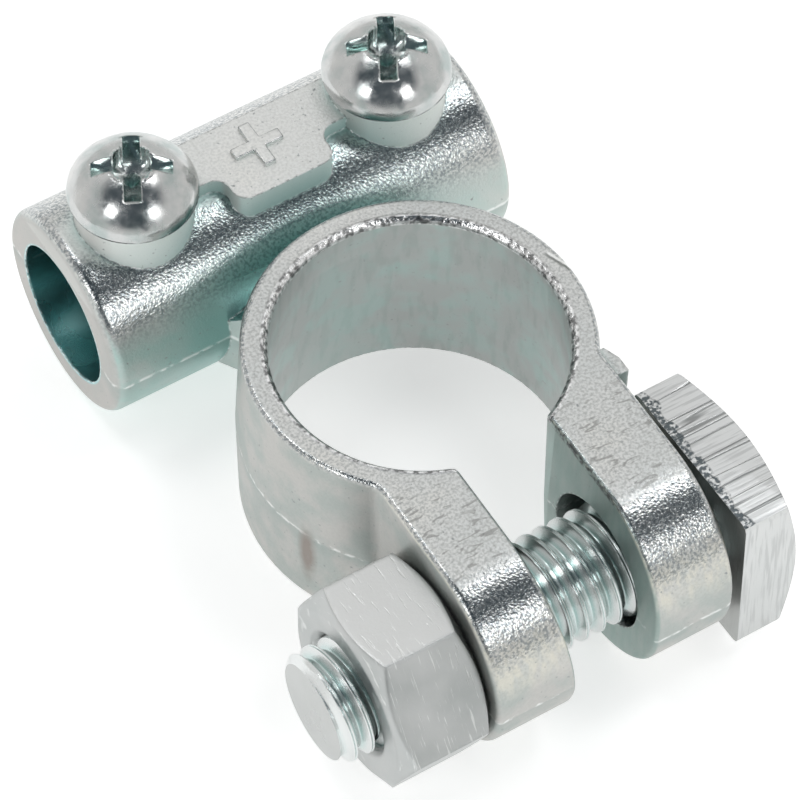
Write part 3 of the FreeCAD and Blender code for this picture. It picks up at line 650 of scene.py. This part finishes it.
# Nut: a plated M8 hex nut, stamped and tapped. Its flats are dull with fine scratches, its upward faces are
# paler, and its thread runs in step with the bolt's.
nut_finish = bpy.data.materials.new("dull_nut")
nut_finish.use_nodes = True
tree = nut_finish.node_tree
shader = tree.nodes["Principled BSDF"]
shader.inputs["Metallic"].default_value = 1.0
spot = place_node(tree, "TexCoord").outputs["Object"]
patch = noise(tree, spot, 300.0, 4.0)
speck = noise(tree, spot, 4200.0)
hairs = fade(tree, noise(tree, spot, 6500.0, 2.0, (1.0, 0.09, 0.09), (0, 0.35, 0.25)), 0.62, 0.70)
soft_edge = place_node(tree, "Bevel", {"Radius": 0.45 * MM}, samples=4)
bump = place_node(tree, "Bump", {
    "Strength": 1.0, "Distance": 0.010 * MM, "Height": work(tree, "MULTIPLY_ADD", hairs, -1.2, speck),
    "Normal": soft_edge.outputs[0]})
tree.links.new(bump.outputs[0], shader.inputs["Normal"])
tone = set_ramp(place_node(tree, "ValToRGB", {0: patch}), (0.3, (0.44, 0.46, 0.455)), (0.7, (0.54, 0.55, 0.545)))
rise = place_node(tree, "SeparateXYZ", {0: place_node(tree, "NewGeometry").outputs["Normal"]}).outputs["Z"]
top_tone = blend(tree, fade(tree, rise, 0.6, 0.9), tone.outputs[0], (0.74, 0.75, 0.745, 1))
# painted shade: blue-green where the nut's own faces shelter it
nut_colour = add_group(tree, hollow_shade, Open=top_tone, Deep=(0.25, 0.45, 0.43, 1), Reach=3 * MM).outputs[0]
nut_colour = blend(tree, work(tree, "MULTIPLY", hairs, 0.45), nut_colour, (0.88, 0.89, 0.88, 1))
tree.links.new(nut_colour, shader.inputs["Base Color"])
tree.links.new(fade(tree, patch, 0.3, 0.7, 0.32, 0.42), shader.inputs["Roughness"])
for material_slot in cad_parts["clamp_nut"].material_slots:
    material_slot.material = nut_finish

# a ridge wound inside the bore, its crests over the roots of the bolt's thread
ridge_start = -15.77 * MM
thread_left, thread_right = -14.95 * MM, -8.75 * MM
tapped = wind_thread(4.15 * MM, ((0.36, -0.72), (0.14, 0.0), (0.36, 0.72)), pitch, 7, closed=True)
tapped.location = (ridge_start, bolt_y, bolt_z)
bpy.ops.object.transform_apply(location=True, rotation=False, scale=False)
cut_ends(Vector((1, 0, 0)), thread_left, thread_right)
bpy.ops.object.shade_smooth_by_angle(angle=math.radians(34))
set_down(tapped, "nut_thread", "nut", "nut_steel", nut_finish)


# Cable screws: two M5 machine screws with pressed pan heads and a cross recess, plated and glossy. Each
# keeps its head as built, and its shank is wound anew with its thread.
screw_finish = bpy.data.materials.new("glossy_screw")
screw_finish.use_nodes = True
tree = screw_finish.node_tree
shader = tree.nodes["Principled BSDF"]
shader.inputs["Metallic"].default_value = 1.0
spot = place_node(tree, "TexCoord").outputs["Object"]
patch = noise(tree, spot, 520.0, 4.0)
tone = set_ramp(
    place_node(tree, "ValToRGB", {0: patch}),
    (0.32, (0.44, 0.49, 0.48)), (0.5, (0.58, 0.59, 0.585)), (0.68, (0.66, 0.66, 0.65)))
# painted shade: blue-green in the cross recess and between the thread's turns
screw_colour = add_group(tree, hollow_shade, Open=tone.outputs[0], Deep=(0.40, 0.62, 0.58, 1), Reach=1.6 * MM).outputs[0]
tree.links.new(screw_colour, shader.inputs["Base Color"])
tree.links.new(fade(tree, noise(tree, spot, 1400.0, 3.0), 0.35, 0.65, 0.14, 0.28), shader.inputs["Roughness"])
soft_edge = place_node(tree, "Bevel", {"Radius": 0.12 * MM}, samples=4)
bump = place_node(tree, "Bump", {
    "Strength": 1.0, "Distance": 0.02 * MM, "Height": patch, "Normal": soft_edge.outputs[0]})
tree.links.new(bump.outputs[0], shader.inputs["Normal"])

screw_tip, screw_seat = 9.1 * MM, 17.1 * MM
screw_pitch = 0.8 * MM
upward = Vector((0, 0, 1))
for side, screw_x in (("left", -10.3 * MM), ("right", 9.3 * MM)):
    clean_start()
    pan_head = bpy.data.objects.new("pan_head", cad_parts["cable_screw_" + side].data.copy())
    bpy.context.scene.collection.objects.link(pan_head)
    pan_head.data.materials.clear()
    pan_head.select_set(True)
    bpy.context.view_layer.objects.active = pan_head
    bpy.ops.object.mode_set(mode="EDIT")
    bpy.ops.mesh.select_all(action="SELECT")
    bpy.ops.mesh.remove_doubles(threshold=0.001 * MM)
    bpy.ops.mesh.select_all(action="SELECT")
    bpy.ops.mesh.bisect(
        plane_co=(0, 0, screw_seat - 0.1 * MM), plane_no=upward, clear_inner=True, use_fill=True, threshold=1e-7)
    bpy.ops.object.mode_set(mode="OBJECT")
    bpy.ops.object.shade_smooth_by_angle(angle=math.radians(30))
    screw_thread = wind_thread(1.99 * MM, (
        (0.10, 0.0), (0.06, 0.05), (0.19, 0.40), (0.05, 0.05), (0.05, -0.05), (0.19, -0.40), (0.06, -0.05),
        (0.10, 0.0)), screw_pitch, 13)
    screw_thread.rotation_euler = (0, -math.pi / 2, 0)
    screw_thread.location = (screw_x, barrel_y, screw_tip - 1.5 * screw_pitch)
    bpy.ops.object.transform_apply(location=True, rotation=True, scale=False)
    cut_ends(upward, screw_tip, screw_seat - 0.05 * MM)
    taper_points(screw_thread, upward, Vector((screw_x, barrel_y, screw_tip)), 1.90 * MM, 1.0)
    bpy.ops.object.shade_smooth_by_angle(angle=math.radians(34))
    clean_start()
    screw_thread.select_set(True)
    pan_head.select_set(True)
    bpy.context.view_layer.objects.active = pan_head
    bpy.ops.object.join()
    set_down(pan_head, "pan_head_screw_" + side, "screw_" + side, "screw_steel", screw_finish)
    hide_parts("cable_screw_" + side)
